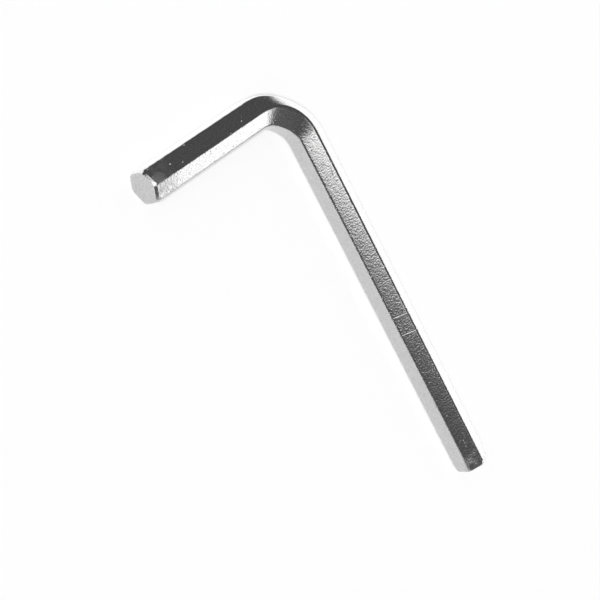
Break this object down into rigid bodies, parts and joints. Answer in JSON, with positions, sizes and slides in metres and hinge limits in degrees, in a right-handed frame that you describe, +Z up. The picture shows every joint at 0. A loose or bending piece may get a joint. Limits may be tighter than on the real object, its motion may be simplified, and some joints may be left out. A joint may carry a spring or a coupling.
{
  "type": "hex key",
  "caption": "L-shaped hex key bent from one plated steel bar of hexagonal section, with rounded edges and lightly pointed tips.",
  "frame": {"origin": "middle of the key's footprint, on the surface that it lies on", "axes": "+X along the short arm towards its tip, +Y along the long arm towards its tip, +Z up, square to the plane of the bend"},
  "size_m": [0.0258, 0.0556, 0.0044],
  "materials": {
    "plated_steel": "bright plated, slightly pitted"
  },
  "bodies": {
    "root": {"hex_key": "plated_steel"}
  },
  "joints": []
}
